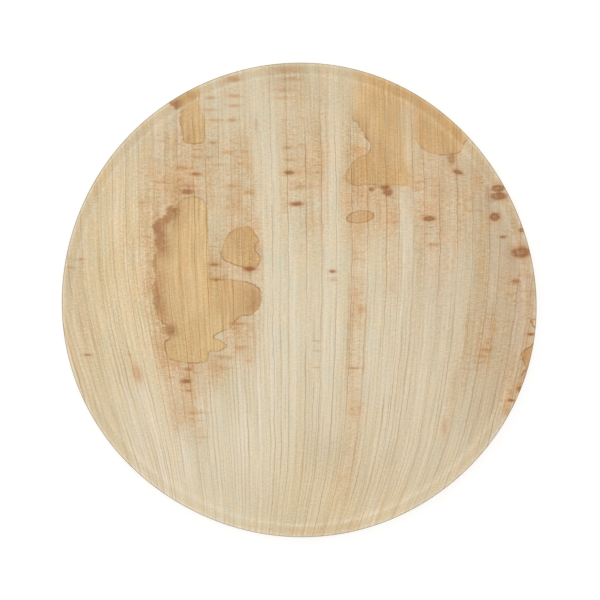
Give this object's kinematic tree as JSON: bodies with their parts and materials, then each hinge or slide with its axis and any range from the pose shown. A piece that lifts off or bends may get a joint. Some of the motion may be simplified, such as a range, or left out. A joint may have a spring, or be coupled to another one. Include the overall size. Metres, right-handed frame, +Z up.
{
  "type": "palm leaf plate",
  "caption": "Round disposable plate pressed from one dry palm leaf sheath, with a flat floor, a low steep wall, a plain trimmed rim and the leaf's veins running across it.",
  "frame": {"origin": "centre of the flat underside, on the surface that the plate stands on", "axes": "+Z up out of the hollow, Y along the leaf's fibres with -Y the end where they draw together, X across them"},
  "size_m": [0.25, 0.25, 0.015],
  "materials": {
    "palm_leaf": "matte dry leaf, cream to tan, with darker veins and golden brown stains"
  },
  "bodies": {
    "root": {"plate": "palm_leaf"}
  },
  "joints": []
}
